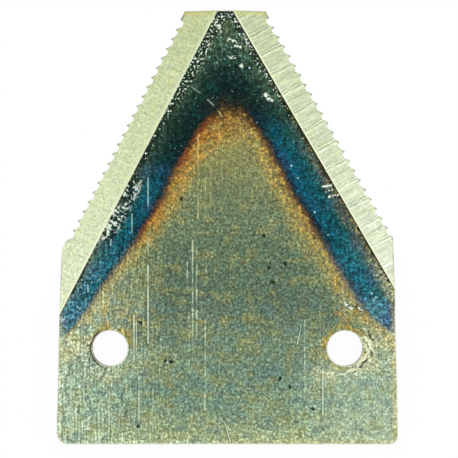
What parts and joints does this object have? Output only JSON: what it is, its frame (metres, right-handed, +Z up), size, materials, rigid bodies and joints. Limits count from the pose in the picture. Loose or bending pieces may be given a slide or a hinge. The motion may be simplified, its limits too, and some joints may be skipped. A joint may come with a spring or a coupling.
{
  "type": "mower sickle section",
  "caption": "Flat tapered steel mower knife section with serrated, bevelled cutting edges and rivet holes near its wide base.",
  "frame": {"origin": "midway between the two rivet holes, on the underside", "axes": "+Y towards the tip, +Z up through the bevelled face, +X to the right when the tip points away and the bevels face up"},
  "size_m": [0.0508, 0.0647, 0.002],
  "materials": {
    "blade_steel": "mill surface with fine scratches, bright ground bevels and a blue-black to straw heat tint along the hardened edges"
  },
  "bodies": {
    "root": {"knife_section": "blade_steel"}
  },
  "joints": []
}
